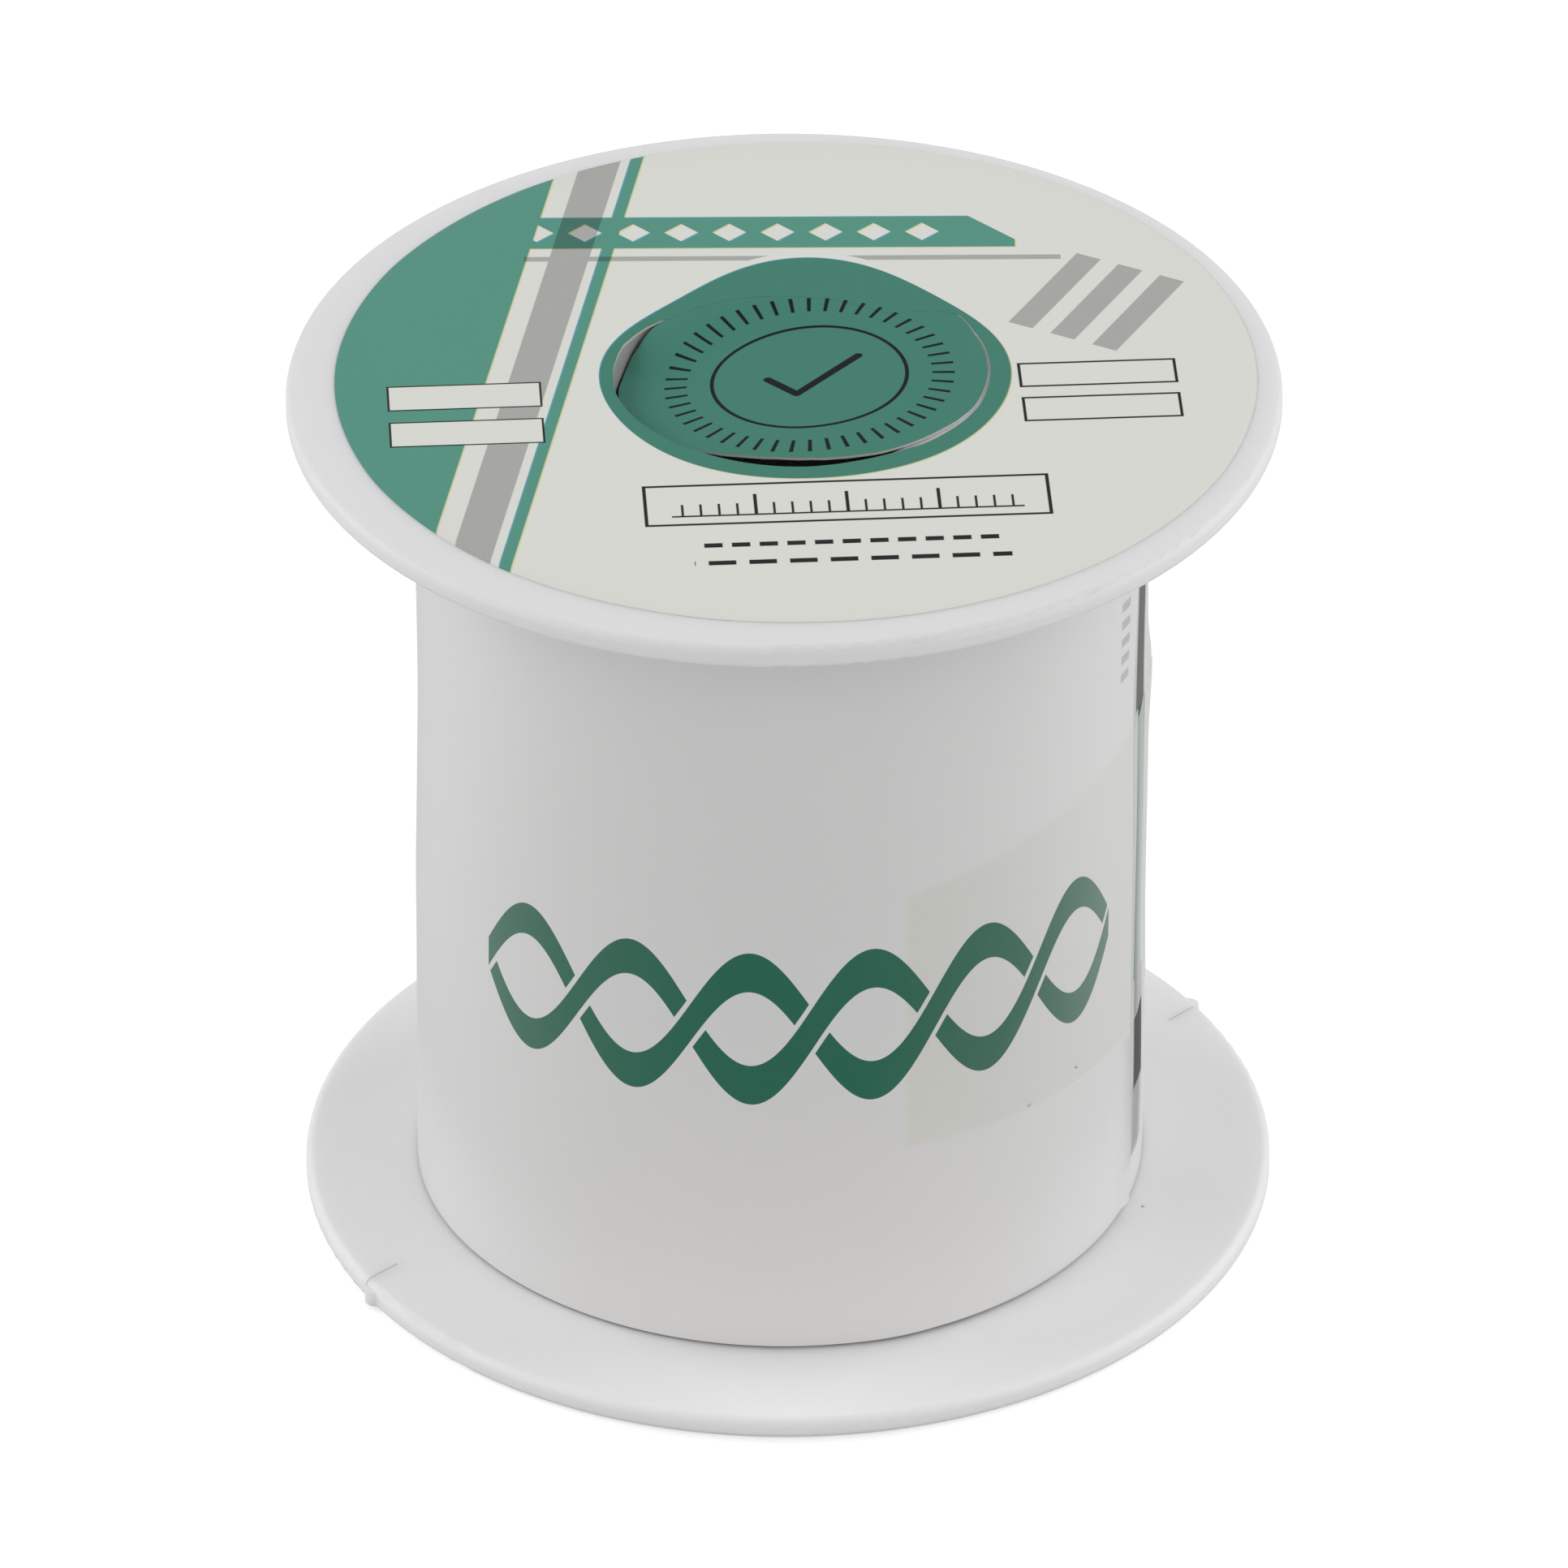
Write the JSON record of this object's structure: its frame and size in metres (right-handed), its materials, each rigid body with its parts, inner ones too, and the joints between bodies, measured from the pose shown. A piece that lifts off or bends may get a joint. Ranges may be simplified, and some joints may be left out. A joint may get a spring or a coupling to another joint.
{
  "type": "solder wire spool",
  "caption": "Plastic spool of solder wire with round flanges, a paper wrapper taped round the wire and a die-cut label over the spindle bore.",
  "frame": {"origin": "on the spool's axis, at the face that the lower flange rests on", "axes": "+Z along the spool's axis, from the lower flange to the labelled upper flange; -Y towards the front of the wrapper's print"},
  "size_m": [0.055, 0.055, 0.0521],
  "materials": {
    "spool_plastic": "bluish-white moulded plastic, satin",
    "solder_wire": "drawn tin-lead wire, dull bright",
    "wrapper_paper": "coated white paper with a green printed motif",
    "clear_tape": "clear adhesive tape, slightly yellowed",
    "label_paper": "coated paper printed in green and grey",
    "flap_paper": "coated paper printed green"
  },
  "bodies": {
    "spool": {"lower_spool_half": "spool_plastic", "upper_spool_half": "spool_plastic", "wire_inner_layers": "solder_wire", "wire_outer_layer": "solder_wire", "wire_start": "solder_wire", "paper_wrapper": "wrapper_paper", "wrapper_tape": "clear_tape", "top_label": "label_paper"},
    "flap": {"centre_flap": "flap_paper"}
  },
  "joints": [
    {"name": "flap_fold", "type": "hinge", "parent": "spool", "child": "flap", "pos_m": [0.00438, -0.00101, 0.05208], "axis": [-0.225, -0.9744, 0], "range_deg": [-5.2, 40]}
  ]
}
